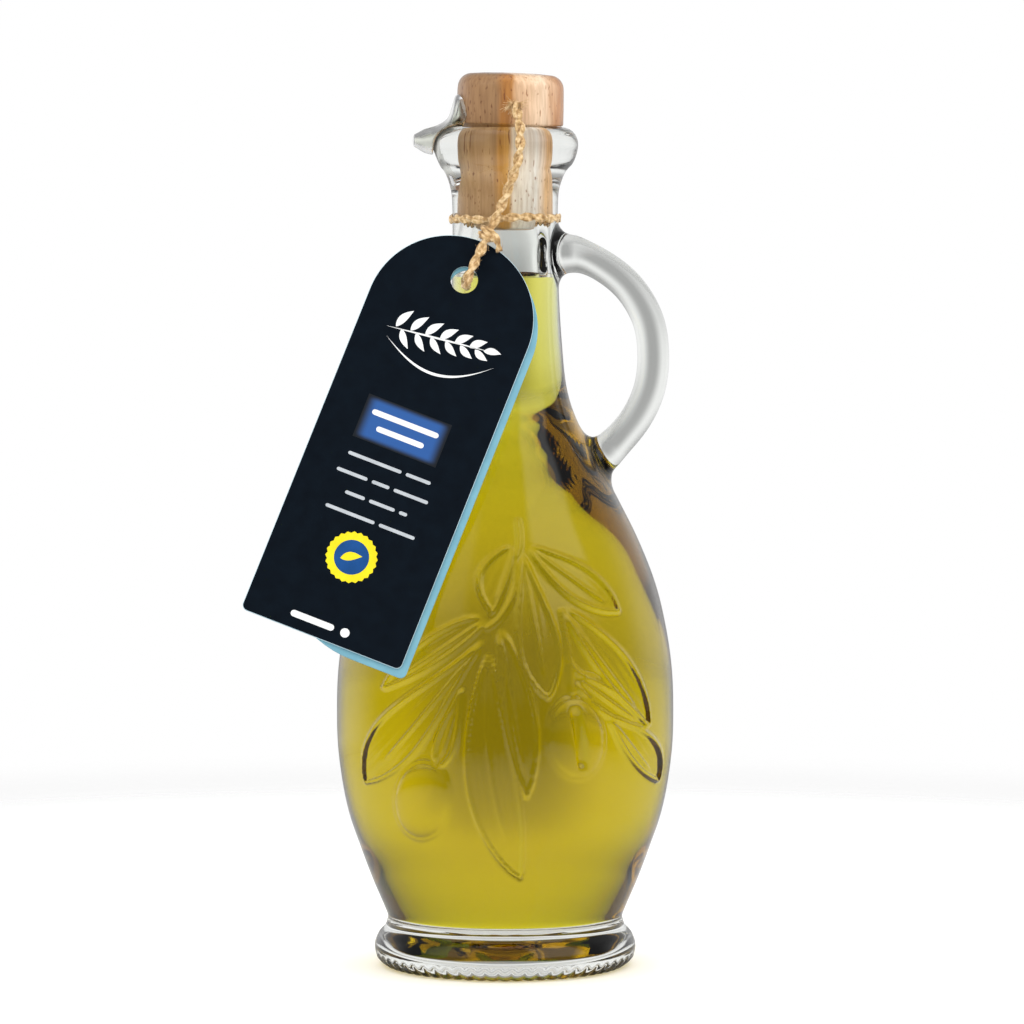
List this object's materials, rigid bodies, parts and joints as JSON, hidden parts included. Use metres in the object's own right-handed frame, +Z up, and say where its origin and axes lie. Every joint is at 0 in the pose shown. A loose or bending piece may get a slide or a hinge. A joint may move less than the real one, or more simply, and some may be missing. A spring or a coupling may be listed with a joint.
{
  "type": "olive oil bottle",
  "caption": "Footed pear-shaped glass bottle of olive oil with a pouring beak, a side handle, a wooden stopper and a paper tag tied to its neck with jute twine.",
  "frame": {"origin": "middle of the foot, on the surface that the bottle stands on", "axes": "+Z up along the bottle's axis, +X towards the handle, -X towards the pouring beak, -Y towards the side where the tag hangs"},
  "size_m": [0.1108, 0.088, 0.2338],
  "materials": {
    "glass": "clear pressed glass, smooth",
    "oil": "clear yellow-green olive oil",
    "turned_wood": "varnished turned wood, fine upright grain",
    "stopper_shank": "plain pale shank, matt",
    "twine": "two-ply jute twine, hairy",
    "tag_front": "matt dark navy printed card",
    "tag_rear": "matt light blue card"
  },
  "bodies": {
    "root": {"bottle": "glass", "oil": "oil", "stopper_head": "turned_wood", "stopper_shank": "stopper_shank", "neck_twine": "twine", "tag_twine": "twine", "twine_knot": "twine", "tag_front_leaf": "tag_front", "tag_rear_leaf": "tag_rear"}
  },
  "joints": []
}
